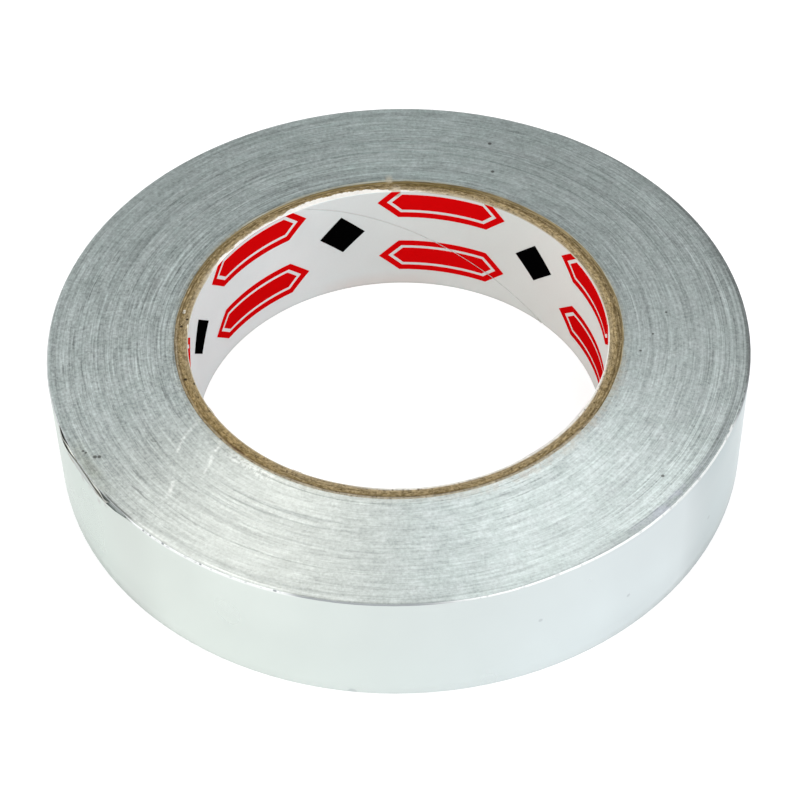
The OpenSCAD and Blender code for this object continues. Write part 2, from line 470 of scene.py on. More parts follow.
def turn_edge_material():
    """The cut edges of the turns: foil, adhesive and paper in fine concentric lines"""
    m = TurnEdges()
    value = m.without(edge_texture(m), edge_darkness(m))
    colour, paper = edge_by_the_tube(m, edge_metal(m, value))
    pale = edge_pale_marks(m)
    colour = m.shade(m.mix(pale, colour, SCRATCH_WHITE), m.scaled(pale, 1.3, 1.0))
    specks = m.most(*[m.spot(x, y, TAPE_W, r) for x, y, r in FACE_SPECKS])
    colour = m.mix(m.times(specks, 0.8), colour, SPECK_BLACK)
    rough = m.scaled(paper, 0.5, m.scaled(m.grain, 0.16, 0.24))
    normal = m.bump(m.math("ADD", m.fine, m.grain), 0.4, 0.02)
    return m.finish(colour, rough, normal, metallic=m.scaled(paper, -0.75, 0.75))


# The outside of the roll
# Foil colours with painted reflection tints: greenish on the left, bluish on the right
FOIL_LEFT = (0.655, 0.71, 0.672)
FOIL_RIGHT = (0.652, 0.713, 0.728)
# Painted shade tints for the far left and the far right of the wall
LEFT_SHADE_TINT = (0.952, 1.0, 0.98)
RIGHT_SHADE_TINT = (0.945, 1.0, 1.005)
WALL_SPECK_GREY = (0.30, 0.33, 0.36)
STAIN_BROWN = (0.47, 0.44, 0.43)
# Painted highlight on the burnished top edge of the wall
BURNISHED_HIGHLIGHT = (0.93, 0.95, 0.94)
# Share of the light that these sectors of the wall take: direction, half width, softness
WALL_SHADES = [
    ((200, 4, 18), 0.15), ((217, 8, 6), 0.085), ((276, 4, 12), 0.03), ((315.5, 6.5, 8), 0.04),
    ((334, 4, 14), 0.25), ((342, 20, 16), 0.10), ((347, 9, 7), 0.15),
]
# Specks and stains on the wall: direction, height and radius
WALL_SPECKS = [(328.0, 9.6, 0.55), (307.2, 9.3, 0.5), (291.0, 14.0, 0.5), (261.8, 0.2, 1.0)]
WALL_STAINS = [
    (205.0, 21.7, 0.8), (207.5, 21.6, 0.9), (210.0, 21.2, 1.0), (212.5, 21.1, 1.1),
    (215.3, 20.7, 1.0), (217.3, 21.6, 0.8),
]
RIM_GREY = (0.32, 0.345, 0.36)
RIM_DARK = (0.11, 0.12, 0.125)
RIM_HIGHLIGHT = (0.93, 0.96, 0.96)
# Arcs of the burnished rim that carry its painted highlight: directions, softness and strength
RIM_HIGHLIGHT_ARCS = [
    ((223, 253, 2), 1.0), ((278, 318, 6), 1.0), ((314, 336, 5), 0.85), ((140, 218, 6), 0.5),
]
# Nicks in the outer rim: direction and radius
RIM_NICKS = [(226.8, 0.35), (228.3, 0.3), (230.9, 0.4), (238.1, 0.35), (250.6, 0.45)]


def stained(m):
    """1 on the stains along the sliver's lower edge"""
    places = m.most(*[m.spot(*on_wall(a, z), r, 0.1) for a, z, r in WALL_STAINS])
    return m.times(places, m.rise(m.noise(m.place, scale=1.3), 0.4, 0.58, 0.2, 1.0))


def foil_material():
    """The outside of the outermost turn: smooth satin foil, with painted reflection tints, painted
    shade, and a painted highlight along its top edge
    """
    m = Surface("outer_foil")
    cloud = m.noise(m.place, scale=0.05)
    rolled = m.noise(m.rings(0.1, 6.0, height=0.06))
    # Painted reflection tints, from the left of the wall to the right
    colour = m.mix(m.rise(m.x, -45, 45), FOIL_LEFT, FOIL_RIGHT)
    # Painted shade, greener at the far left and bluer at the far right
    colour = m.mix(m.sector(200, 4, 18), colour, LEFT_SHADE_TINT, blend="MULTIPLY")
    colour = m.mix(m.sector(343, 10, 14), colour, RIGHT_SHADE_TINT, blend="MULTIPLY")
    # Painted shade low down on the wall, at the left and at the right
    foot = m.times(m.rise(m.z, 2, 11, 0.06, 0.0), m.most(m.arc(202, 224, 7), m.arc(304, 350, 9)))
    # Painted highlight along the top edge at the front left
    lip_highlight = m.times(m.rise(m.z, 23.4, 23.7), m.arc(227, 253, 3))
    shadow = m.most(*[m.times(m.sector(*where), share) for where, share in WALL_SHADES])
    # Painted shade and light: the wall is a little lighter low down and darker towards the top, and
    # a painted highlight lightens its upper part at the front left
    value = m.times(m.grey((cloud, 0.05), (rolled, 0.06)), m.rise(m.z, 0.0, TAPE_W, 1.035, 0.94))
    value = m.scaled(m.times(m.arc(240, 252, 5), m.rise(m.z, 10, 20)), 0.045, value)
    value = m.without(value, m.math("ADD", shadow, foot))
    specks = m.most(*[m.spot(*on_wall(a, z), r) for a, z, r in WALL_SPECKS])
    colour = m.mix(m.times(specks, 0.35), colour, WALL_SPECK_GREY)
    colour = m.mix(m.times(stained(m), 0.7), colour, STAIN_BROWN)
    colour = m.mix(m.times(lip_highlight, 0.6), colour, BURNISHED_HIGHLIGHT)
    colour = m.shade(colour, value)
    return m.finish(colour, m.scaled(cloud, 0.1, 0.24), m.bump(cloud, 0.3, 0.4), metallic=1.0)


def rim_material():
    """The outer edge of the end face: burnished where the cut turned it over, and painted white in
    arcs as its highlight
    """
    m = Surface("rim")
    wear = m.noise(m.rings(1.0, 30.0))
    # Painted highlight in white arcs, broken by chips and nicks
    highlight = m.most(*[m.times(m.arc(*where), strength) for where, strength in RIM_HIGHLIGHT_ARCS])
    chipped = m.noise(m.rings(1.0, 55.0), detail=1.0)
    highlight = m.times(highlight, m.rise(chipped, 0.34, 0.43, 0.65, 1.0))
    highlight = m.without(highlight, m.most(*[m.spot(*on_wall(a, TAPE_W), r) for a, r in RIM_NICKS]))
    colour = m.mix(highlight, m.mix(m.arc(-14, 38, 5), RIM_GREY, RIM_DARK), RIM_HIGHLIGHT)
    colour = m.shade(colour, m.grey((wear, 0.1)))
    return m.finish(colour, m.scaled(wear, 0.2, 0.3), m.bump(wear, 0.2, 0.02), metallic=0.25)


# The torn sliver and its bed
BED_DARK = (0.18, 0.205, 0.195)
BED_LIGHT = (0.33, 0.37, 0.355)
SLIVER_BRIGHT = (0.47, 0.51, 0.49)
SLIVER_DULL = (0.385, 0.415, 0.40)
SLIVER_STAIN = (0.34, 0.31, 0.29)
ADHESIVE_GREY = (0.45, 0.44, 0.39)
PAPER_SOILED = (0.42, 0.43, 0.40)
PAPER_CLEAN = (0.80, 0.85, 0.78)


def torn_bed_material():
    """The dull place that the sliver was torn from"""
    m = Surface("torn_bed")
    smear = m.noise(m.place, scale=1.5, detail=3.0)
    patchy = m.rise(m.noise(m.place, scale=0.5), 0.4, 0.6)
    colour = m.shade(m.mix(patchy, BED_DARK, BED_LIGHT), m.grey((smear, 0.6)))
    return m.finish(colour, m.scaled(smear, 0.3, 0.4), m.bump(smear, 0.4, 0.05), metallic=0.4)


def sliver_foil_material():
    """The outside of the sliver: foil that was crumpled and smeared in the tearing"""
    m = Surface("sliver_foil")
    smear = m.noise(m.place, scale=0.9, detail=3.0, roughness=0.6)
    crease = m.noise(m.rings(0.2, 12.0, height=0.6))
    colour = m.mix(m.arc(206.5, 219, 2), SLIVER_BRIGHT, SLIVER_DULL)
    colour = m.mix(m.times(stained(m), 0.5), colour, SLIVER_STAIN)
    colour = m.shade(colour, m.grey((smear, 0.35), (crease, 0.15)))
    normal = m.bump(m.math("ADD", smear, crease), 0.5, 0.12)
    return m.finish(colour, m.scaled(smear, 0.25, 0.22), normal, metallic=1.0)


def adhesive_material():
    """Dull adhesive on the inner side of the foil"""
    m = Surface("adhesive")
    smear = m.noise(m.place, scale=2.0, detail=3.0)
    colour = m.shade(ADHESIVE_GREY, m.grey((smear, 0.5)))
    return m.finish(colour, m.scaled(smear, 0.2, 0.5), m.bump(smear, 0.3, 0.04))


def release_paper_material():
    """The sliver's release paper, soiled apart from its clean upper part"""
    m = Surface("release_paper")
    fibre = m.noise(m.place, scale=3.0, detail=3.0)
    clean = m.most(m.arc(205.2, 209.5, 1.2), m.times(m.arc(209, 216.5, 1.5), 0.55))
    clean = m.times(clean, m.rise(fibre, 0.3, 0.6, 0.7, 1.0))
    colour = m.shade(m.mix(clean, PAPER_SOILED, PAPER_CLEAN), m.grey((fibre, 0.3)))
    return m.finish(colour, m.scaled(fibre, 0.2, 0.6), m.bump(fibre, 0.3, 0.03))


# The cut end of the kraft tube
KRAFT_DARK = (0.125, 0.087, 0.03)
KRAFT_LIGHT = (0.385, 0.30, 0.165)
INNER_PLY = (0.58, 0.50, 0.37)
OUTER_LINE = (0.10, 0.066, 0.024)
INNER_LINE = (0.12, 0.085, 0.035)
TORN_PAPER = (0.84, 0.82, 0.78)
PALE_RIM = (0.52, 0.515, 0.46)
JOINT_BROWN = (0.10, 0.072, 0.03)
GOUGE_BROWN = (0.10, 0.05, 0.025)
WARM_TINT = (0.97, 0.92, 0.80)
SOAKED_TINT = (0.65, 0.62, 0.42)
INNER_EDGE = (0.76, 0.74, 0.69)
KRAFT_SPECK = (0.07, 0.042, 0.018)
KRAFT_FLECK = (0.09, 0.06, 0.025)
CHIP_WHITE = (0.78, 0.77, 0.70)
FLAKE_TAN = (0.54, 0.47, 0.36)
MARK_BLACK = (0.03, 0.02, 0.01)
BORE_WHITE = (0.72, 0.72, 0.71)
# Chips on the tube's end, from place to place with a width, and marks with a radius
CORE_CHIPS = [((-39.1, 6.0), (-39.0, 6.5), 0.8), ((-38.25, 2.8), (-38.15, 0.7), 0.35)]
CORE_MARKS = [(-38.4, 4.2, 0.35), (-39.4, 2.4, 0.4), (-38.0, -11.1, 0.4), (-36.3, -12.2, 0.35)]


class KraftEnd(Surface):
    """The cut end of the kraft tube, with the fields that its marks share"""

    def __init__(self):
        super().__init__("kraft_board")
        self.fibre = self.noise(self.rings(3.4, 44.0, height=3.0), detail=4.0, roughness=0.7)
        self.grain = self.noise(self.place, scale=1.6, detail=3.0, roughness=0.65)
        self.broad = self.noise(self.rings(0.8, 7.0, height=0.5))
        self.across = self.scaled(self.centred(self.broad), 0.5, self.radius)
        self.dark = self.rise(self.noise(self.rings(1.2, 14.0)), 0.35, 0.6, 0.3, 1.0)
        self.front = self.arc(218, 322, 10)
        tatters = self.noise(self.place, scale=0.5, detail=4.0, roughness=0.6)
        shreds = self.scaled(tatters, -1.6, self.radius)
        shreds = self.scaled(self.arc(97, 121, 6), -0.85, shreds)
        self.torn = self.times(self.rise(shreds, 37.75, 37.9, 1.0, 0.0), self.arc(84, 153, 6))


def kraft_plies(m):
    """Fibres, a paler inner ply and the dark lines between the plies"""
    colour = m.mix(m.rise(m.fibre, 0.3, 0.7), KRAFT_DARK, KRAFT_LIGHT)
    inner = m.scaled(m.sector(112, 42, 22), 0.6, 0.17)
    inner = m.times(m.rise(m.across, 38.3, 39.5, 1.0, 0.0), inner)
    colour = m.mix(inner, colour, INNER_PLY)
    line = m.times(m.window(m.across, 39.75, 40.1, 0.14), m.dark, 0.8)
    colour = m.mix(line, colour, OUTER_LINE)
    line = m.times(m.window(m.across, 39.0, 39.15, 0.1), m.dark, 0.5)
    return m.mix(line, colour, INNER_LINE)


def kraft_outer_edge(m, colour):
    """The side by the tape: rubbed pale at the front, with a dark joint to the tape"""
    rim = m.times(m.rise(m.across, 39.8, 40.3), m.arc(178, 325, 12))
    rim = m.times(rim, m.scaled(m.front, 0.2, 0.2))
    edge = m.times(m.rise(m.across, 40.2, 40.45, 0.0, 0.5), m.front)
    colour = m.mix(m.most(rim, edge), colour, PALE_RIM)
    joint = m.window(m.across, 40.34, 40.8, 0.08)
    joint = m.times(joint, m.rise(m.broad, 0.35, 0.6, 0.15, 0.75))
    joint = m.times(joint, m.scaled(m.front, -0.8, 1.0))
    colour = m.mix(joint, colour, JOINT_BROWN)
    gouge = m.times(m.patch((220, 229, 2), 39.8, 40.2, 0.12), m.dark, 0.8)
    return m.mix(gouge, colour, GOUGE_BROWN)


def kraft_zones(m, colour):
    """Changes of colour from one side of the ring to the other"""
    colour = m.mix(m.sector(217, 14, 14), colour, WARM_TINT, blend="MULTIPLY")
    pale_ply = m.times(m.window(m.across, 38.8, 39.5, 0.15), m.arc(-25, 68, 10))
    colour = m.shade(colour, m.scaled(pale_ply, 0.22, 1.0))
    outer_ply = m.times(m.rise(m.across, 39.5, 39.7), m.arc(-30, 55, 12))
    colour = m.shade(colour, m.scaled(outer_ply, -0.1, 1.0))
    soaked = m.times(m.rise(m.across, 39.8, 40.1), m.arc(70, 86, 6))
    colour = m.mix(soaked, colour, SOAKED_TINT, blend="MULTIPLY")
    inner_edge = m.times(m.rise(m.radius, 38.35, 38.6, 0.85, 0.0), m.arc(262, 345, 8))
    return m.mix(inner_edge, colour, INNER_EDGE)


def kraft_marks(m, colour):
    """Specks, the torn white edge, chips, a flake and single marks"""
    specks = m.rise(m.noise(m.place, scale=1.5, detail=1.0), 0.66, 0.72)
    colour = m.mix(m.times(specks, 0.8), colour, KRAFT_SPECK)
    flecks = m.rise(m.noise(m.place, scale=2.4, detail=1.0), 0.62, 0.7, 0.0, 0.55)
    colour = m.mix(m.times(flecks, m.sector(330, 120, 30)), colour, KRAFT_FLECK)
    colour = m.mix(m.torn, colour, TORN_PAPER)
    chips = m.rise(m.most(*[m.stroke(chip) for chip in CORE_CHIPS]), 0.1, 0.5)
    chips = m.times(chips, m.rise(m.grain, 0.35, 0.55, 0.4, 0.9))
    colour = m.mix(chips, colour, CHIP_WHITE)
    flake = m.rise(m.stroke(CORE_FLAKE), 0.0, 0.5)
    flake = m.times(flake, m.rise(m.radius, 38.6, 40.0, 0.9, 0.2))
    flake = m.times(flake, m.rise(m.grain, 0.35, 0.6, 0.6, 1.0))
    colour = m.mix(flake, colour, FLAKE_TAN)
    marks = m.most(*[m.spot(x, y, TAPE_W, r) for x, y, r in CORE_MARKS])
    return m.mix(marks, colour, MARK_BLACK)


def kraft_material():
    """The cut end of the kraft tube: coarse fibres that follow the plies"""
    m = KraftEnd()
    colour = kraft_marks(m, kraft_zones(m, kraft_outer_edge(m, kraft_plies(m))))
    bore = m.rise(m.radius, TUBE_R + 0.05, TUBE_R + 0.1, 1.0, 0.0)
    bore = m.times(bore, m.window(m.z, 0.5, TAPE_W - 0.5, 0.1))
    colour = m.mix(bore, colour, BORE_WHITE)
    coarse = m.scaled(m.torn, -1.0, 1.35)
    colour = m.shade(colour, m.grey((m.broad, 0.3), (m.grain, coarse)))
    normal = m.bump(m.math("ADD", m.fibre, m.grain), 0.7, 0.1)
    return m.finish(colour, m.scaled(m.fibre, 0.15, 0.8), normal, specular=0.2)


# The lining and the inks on it
PAPER_LEFT = (0.865, 0.94, 0.95)
PAPER_RIGHT = (0.88, 0.915, 0.87)
PAPER_FLAKE = (0.62, 0.54, 0.44)
FOOT_TINT = (1.0, 0.92, 0.90)
BACK_SHADE = (0.87, 0.89, 0.89)
EDGE_FLUFF = (0.42, 0.35, 0.22)
EDGE_PAPER = (0.76, 0.75, 0.70)
RED_INK = (0.745, 0.0022, 0.0035)
BLACK_INK = (0.001, 0.001, 0.001)


def top_edge(m):
    """1 on the lining's top edge, but not where its paper is torn"""
    return m.times(m.rise(m.z, TAPE_W - 0.1, TAPE_W - 0.02), m.arc(154, 444, 6))


def top_edge_colour(m):
    """Brown fluff of the tube, and bare white paper at the front right"""
    return m.mix(m.arc(262, 362, 8), EDGE_FLUFF, EDGE_PAPER)


def paper_material():
    """The white paper of the lining, with painted shade at the back and a painted contact shadow
    along its foot
    """
    m = Surface("lining_paper")
    fibre = m.noise(m.place, scale=2.5, detail=4.0, roughness=0.6)
    cloud = m.noise(m.place, scale=0.09)
    colour = m.mix(m.rise(m.x, -35, 35), PAPER_LEFT, PAPER_RIGHT)
    colour = m.mix(m.times(top_edge(m), 0.75), colour, top_edge_colour(m))
    flake = m.rise(m.stroke(CORE_FLAKE, end_z=TAPE_W - 0.3), 0.08, 0.4)
    colour = m.mix(m.times(flake, 0.9), colour, PAPER_FLAKE)
    foot = m.times(m.rise(m.z, 0.5, 4.0, 1.0, 0.0), m.sector(95, 8, 14))
    colour = m.mix(foot, colour, FOOT_TINT, blend="MULTIPLY")
    colour = m.mix(m.sector(80, 28, 22), colour, BACK_SHADE, blend="MULTIPLY")
    # Painted contact shadow along the foot of the lining
    colour = m.shade(colour, m.rise(m.z, 0.1, 0.6, 0.86, 1.0))
    colour = m.shade(colour, m.grey((fibre, 0.05), (cloud, 0.10)))
    normal = m.bump(fibre, 0.25, 0.03, below=m.bump(cloud, 0.3, 0.6))
    return m.finish(colour, m.scaled(fibre, 0.2, 0.45), normal, specular=0.2)


def ink_material(name, colour):
    """Ink on the lining, which lets a little of the paper's grain through"""
    m = Surface(name)
    fibre = m.noise(m.place, scale=2.5, detail=4.0, roughness=0.6)
    cloud = m.noise(m.place, scale=0.3)
    colour = m.mix(top_edge(m), colour, top_edge_colour(m))
    colour = m.shade(colour, m.grey((fibre, 0.12), (cloud, 0.10)))
    return m.finish(colour, m.scaled(fibre, 0.2, 0.55), m.bump(fibre, 0.2, 0.02), specular=0.0)


# The wound tape

def spiral_radius(angle):
    """Radius of the outermost turn, which ends with a step at END_ANGLE"""
    along = (np.asarray(angle, float) - END_ANGLE) % 360
    shrunk = ROLL_R - TURN_T / 2 - TURN_T / 2 * np.cos(np.radians(along))
    return np.where(along < 180, shrunk, ROLL_R)


def tear_edge(angle):
    """Height of the lower edge of the tear, and of TAPE_W beyond its end"""
    y = ROLL_R * np.sin(np.radians(np.asarray(angle, float) - SLIVER_ANGLE))
    places = [0, SLIVER_LEN, SLIVER_LEN + TEAR_RUN_OUT]
    return TAPE_W - np.interp(y, places, [SLIVER_ROOT_H, SLIVER_TIP_H, 0])


def band_edges(phase):
    """Inner radii of the bands of turns that lie level with one another"""
    count = math.floor((ROLL_R - TUBE_OUTER_R - 2 * BAND_MARGIN) / BAND_W)
    i = np.arange(count + 1)
    wander = BAND_WANDER * np.sin(np.radians(phase + i * GOLDEN_TURN))
    return TUBE_OUTER_R + BAND_MARGIN + i * BAND_W + wander


def band_drop(phase):
    """How far each turn lies below the end face"""
    edges = band_edges(phase)
    band = np.searchsorted(edges, TUBE_OUTER_R + (np.arange(TURNS) + 0.5) * TURN_T) - 1
    drop = BAND_DEPTH * (0.75 + 0.25 * np.cos(np.radians(phase + 3 * band * GOLDEN_TURN)))
    sunken = (band >= 0) & (band < len(edges) - 1) & (band % 2 == 0)
    return np.where(sunken, drop, 0)


def turn_noise(rng, angles, along, across):
    """Random numbers for each column and turn, about 1 in size, smoothed over along
    degrees and across turns. They close on themselves round the roll."""
    even = 240
    field = np.fft.fft2(rng.standard_normal((even, TURNS)))
    f_along = np.fft.fftfreq(even, 360 / even)[:, None]
    f_across = np.fft.fftfreq(TURNS)[None, :]
    blur = np.exp(-2 * (np.pi * f_along * along) ** 2 - 2 * (np.pi * f_across * across) ** 2)
    field = np.fft.ifft2(field * blur).real
    field /= field.std()
    steps = np.arange(even + 1) * 360 / even
    closed = np.vstack([field, field[:1]])
    return np.column_stack([np.interp(angles, steps, closed[:, i]) for i in range(TURNS)])


def mesh_piece(name, vertices, faces, materials, slots, sharp=30):
    """A mesh object from points in millimetres, smooth except at sharp edges"""
    mesh = bpy.data.meshes.new(name)
    mesh.from_pydata((np.asarray(vertices) * MM).tolist(), [], faces)
    for material in materials:
        mesh.materials.append(material)
    mesh.polygons.foreach_set("material_index", np.asarray(slots, np.int32))
    mesh.shade_smooth()
    mesh.set_sharp_from_angle(angle=math.radians(sharp))
    mesh.validate()
    return new_object(name, mesh)


def sections(angles, radii, heights):
    """Points of the sections at each angle, and their numbers, a row for each section"""
    turn = np.radians(angles)[:, None]
    xyz = np.stack([radii * np.cos(turn), radii * np.sin(turn), heights], axis=-1)
    return xyz.reshape(-1, 3), np.arange(radii.size).reshape(radii.shape)


def closed_loft(angles, radii, heights, slots):
    """Points and faces of a ring whose section is given at each angle. The section's
    points run round it, and slots has the material of the strip after each point."""
    points, here = sections(angles, radii, heights)
    there = np.roll(here, -1, axis=0)
    faces = np.stack([here, np.roll(here, -1, axis=1), np.roll(there, -1, axis=1), there], axis=-1)
    return points, faces.reshape(-1, 4).tolist(), np.broadcast_to(slots, radii.shape).ravel()


# Sections round the roll, how far apart the two are that make a step, and rows of faces
# down the wall
COLUMNS = 126
COLUMN_PAIR = 0.02
WALL_ROWS = 6
# Height of the slope of each turn's edge, and how uneven the slopes are
RIDGE = 0.021
RIDGE_UNEVEN = 0.18
# Mean depth of the turns' edges, and how much it changes from turn to turn
EDGE_DEPTH = 0.008
EDGE_UNEVEN = 0.002
# Share of the bands' depth that is left here. It wanders by as much, up to the most.
SUNK_SHARE = 0.12
SUNK_MOST = 0.6
# How late the turns crowd inwards where the rim leans in: the larger, the later
TAPER = 40
# The rounded outer edge, and the share of it that is left where the tape is torn
EDGE_ROUND = 0.2
TORN_ROUND = 0.5
# Middle of the rounding and the row of points under it, as shares of its size
ROUND_IN = 0.3
ROUND_DOWN = 0.35
UNDER_ROUND = 1.3
# How much more the edge is rounded where it is pressed, how far it leans in there, and
# the directions between which the pressing starts and those between which it ends
PRESSED_ROUND = 0.08
EDGE_LEAN = 0.38
PRESSED_FROM = (282, 297)
PRESSED_TO = (330, 344)
# Size of the small steps in the wall's upper part
STEP = 0.01


def pressed(angles):
    """1 where the outermost turns' top edges are pressed in, and 0 elsewhere"""
    return smoothstep(angles, *PRESSED_FROM) * (1 - smoothstep(angles, *PRESSED_TO))


def tape_columns():
    """Angles of the sections, with a close pair at each step in the outline"""
    tear_end = SLIVER_ANGLE + math.degrees(math.asin((SLIVER_LEN + TEAR_RUN_OUT) / ROLL_R))
    pairs = [a + side * COLUMN_PAIR for a in (END_ANGLE, SLIVER_ANGLE) for side in (-1, 1)]
    even = np.arange(COLUMNS) * 360 / COLUMNS
    return np.unique(np.concatenate([even, pairs, [tear_end]]))


def end_face(rng, angles, outer, phase):
    """Radii and depths of the turns' edges on one end face, from the tube outwards.
    Each edge is a narrow slope that falls outwards, with a step up to the next one."""
    share = np.arange(TURNS + 1)[None, :] / TURNS
    inward = ROLL_R - EDGE_ROUND - outer[:, None]
    radii = TUBE_OUTER_R + share * (ROLL_R - EDGE_ROUND - TUBE_OUTER_R) - inward * share ** TAPER
    slow = turn_noise(rng, angles, along=14, across=0.9)
    quick = turn_noise(rng, angles, along=4, across=0.4)
    wide = turn_noise(rng, angles, along=25, across=6)
    sunk = np.clip(SUNK_SHARE + SUNK_SHARE * wide, 0, SUNK_MOST)
    depth = band_drop(phase)[None, :] * sunk + EDGE_UNEVEN * slow + EDGE_UNEVEN * quick + EDGE_DEPTH
    high = np.maximum(depth, 0)
    fall = RIDGE * np.clip(1 + RIDGE_UNEVEN * slow + RIDGE_UNEVEN * quick, 0.1, 2)
    r = np.stack([radii[:, :-1], radii[:, 1:]], axis=-1).reshape(len(angles), -1)
    z = np.stack([high, high + fall], axis=-1).reshape(len(angles), -1)
    z[:, -1] = z[:, -2]
    return r, z


def tape_turns(turn_edges, foil, bed, rim):
    """The wound tape: end faces of fine ridges, a smooth wall, and the sliver's bed"""
    rng = np.random.default_rng(SEED)
    angles = tape_columns()
    past = (angles - SLIVER_ANGLE) % 360
    torn = (past < 90) & (tear_edge(angles) < TAPE_W - 1e-6)
    whole = spiral_radius(angles)
    top = np.where(torn, whole - TURN_T, whole - EDGE_LEAN * pressed(angles))
    edge = np.where(torn, TORN_ROUND, 1) * EDGE_ROUND + PRESSED_ROUND * pressed(angles)
    top_r, top_z = end_face(rng, angles, top - edge, 0)
    low_r, low_z = end_face(rng, angles, whole - EDGE_ROUND, 90)
    tear = np.where(torn, tear_edge(angles), TAPE_W - SLIVER_ROOT_H)
    rim_z = TAPE_W - top_z[:, -1]
    under_r = np.where(torn, top, top + 2 * STEP)
    under_z = np.where(torn, tear + STEP, rim_z - UNDER_ROUND * edge)
    bed_r = np.column_stack([top - ROUND_IN * edge, top, under_r, whole])
    bed_z = np.column_stack([rim_z - ROUND_DOWN * edge, rim_z - edge, under_z, tear])
    share = np.linspace(0, 1, WALL_ROWS + 1)[1:-1]
    floor_edge = low_z[:, -1] + EDGE_ROUND
    wall_z = tear[:, None] + (floor_edge - tear)[:, None] * share
    wall_r = np.broadcast_to(whole[:, None], wall_z.shape)
    foot_r = np.column_stack([whole, whole - ROUND_IN * EDGE_ROUND])
    foot_z = np.column_stack([floor_edge, low_z[:, -1] + ROUND_DOWN * EDGE_ROUND])
    radii = np.hstack([top_r, bed_r, wall_r, foot_r, low_r[:, ::-1]])
    heights = np.hstack([TAPE_W - top_z, bed_z, wall_z, foot_z, low_z[:, ::-1]])
    strips = np.zeros(radii.shape, int)
    first = top_r.shape[1]
    strips[:, first - 1:-low_r.shape[1]] = 1
    open_bed = (torn & np.roll(torn, -1))[:, None]
    strips[:, first + 1:first + 3] = np.where(open_bed, 2, 1)
    strips[:, first - 1:first + 1] = 3
    points, faces, slots = closed_loft(angles, radii, heights, strips)
    piece = mesh_piece("tape_turns", points, faces, [turn_edges, foil, bed, rim], slots)
    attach(piece, "root")
    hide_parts("tape_roll")


# The torn sliver

def strip_piece(name, along, lifts, heights, thickness, materials, edge):
    """A thin strip round the roll, at the angles in along. lifts has how far its lower
    and its upper edge stand off the roll, and heights where they are. The first material
    is on its outer side, the second on its inner side, and edge is its edges' slot."""
    numbers = (*lifts, *heights, thickness)
    columns = [np.broadcast_to(number, along.shape)[:, None] for number in numbers]
    lift_low, lift_high, low, high, thickness = columns
    share = np.linspace(0, 1, SLIVER_ROWS + 1)[None, :]
    z = low + (high - low) * share
    lift = lift_low + (lift_high - lift_low) * share ** SLIVER_BEND
    outer = ROLL_R - TURN_T + lift + thickness
    inner = outer - thickness
    radii = np.hstack([outer, inner[:, ::-1]])
    points, here = sections(along, radii, np.hstack([z, z[:, ::-1]]))
    beside = np.roll(here, -1, axis=1)
    faces = np.stack([here[:-1], here[1:], beside[1:], beside[:-1]], axis=-1)
    faces = faces.reshape(-1, 4).tolist() + [here[0, ::-1].tolist(), here[-1].tolist()]
    sides = [0] * SLIVER_ROWS + [edge] + [1] * (SLIVER_ROWS + 1)
    slots = sides * (len(along) - 1) + [edge, edge]
    piece = mesh_piece(name, points, faces, materials, slots)
    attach(piece, "root")


# Steps along the sliver, rows up it, and how its lift grows with the height
SLIVER_STEPS = 48
SLIVER_ROWS = 4
SLIVER_BEND = 1.4
# Thickness of the foil, of the release paper, and of the paper where it is torn
FOIL_T = 0.06
PAPER_T = 0.24
TORN_PAPER_T = 0.08
# How far the foil stands off the roll: soon after the root, in the middle, at the tip
ROOT_LIFT = 0.13
BULGE = 0.38
TIP_LIFT = 0.56
# How far the fallen paper stands off the roll, how much thinner than the foil's lift it
# stays, down to THIN_PAPER, its clearance, and the least that its upper edge stands off
PAPER_LIFT = 0.04
PAPER_GAP = 0.24
THIN_PAPER = 0.05
CLEARANCE = 0.005
PAPER_LEAST = 0.01
# Clearance over the tear's edge, and how far the corner at the tip is cut back
TEAR_CLEAR = 0.03
TIP_CUT = 0.5
# How far the paper reaches past the foil at the top, and falls short of it at the foot
PAPER_PAST = 0.02
PAPER_SHORT = 0.1
# Parts of the sliver's length, from 0 at the root to 1 at the tip: where it leaves the
# roll, bulges, falls back, lifts again, and has its corner rounded
LEAVING = (0, 0.1)
BULGING = (0, 0.26)
FALLING = (0.25, 0.5)
LIFTING = (0.58, 1.02)
ROUNDING = (0.93, 1.0)
# Parts where the paper falls away from the foil and where it meets the foil again
PAPER_FALLS = (0.12, 0.28)
PAPER_MEETS = (0.80, 1.0)


def torn_sliver(foil, adhesive, paper):
    """The foil stands off the roll. Its release paper leaves the roll with it, falls
    back against it, and meets the foil again at the tip."""
    share = np.linspace(0, 1, SLIVER_STEPS + 1)
    sweep = math.degrees(SLIVER_LEN / (ROLL_R + SLIVER_LIFT / 2))
    along = SLIVER_ANGLE + share * sweep
    low = tear_edge(along) + TEAR_CLEAR
    rounded = low + (TAPE_W - TIP_CUT - low) * smoothstep(share, *ROUNDING)
    flush = TURN_T - FOIL_T
    lift = flush + ROOT_LIFT * smoothstep(share, *LEAVING) + TIP_LIFT * smoothstep(share, *LIFTING)
    lift += BULGE * smoothstep(share, *BULGING) * (1 - smoothstep(share, *FALLING))
    strip_piece(
        "sliver_foil", along, (flush, lift), (rounded, TAPE_W - PAPER_PAST), FOIL_T,
        [foil, adhesive], 0,
    )
    with_foil = 1 - smoothstep(share, *PAPER_FALLS) + smoothstep(share, *PAPER_MEETS)
    thickness = TORN_PAPER_T + (PAPER_T - TORN_PAPER_T) * (1 - with_foil)
    thickness = np.minimum(thickness, np.maximum(lift - PAPER_GAP, THIN_PAPER))
    touching = lift - thickness - CLEARANCE
    fallen = np.minimum(PAPER_LIFT, touching)
    paper_lift = np.maximum(with_foil * touching + (1 - with_foil) * fallen, PAPER_LEAST)
    strip_piece(
        "sliver_paper", along, (CLEARANCE, paper_lift), (rounded + PAPER_SHORT, TAPE_W),
        thickness, [adhesive, paper], 1,
    )


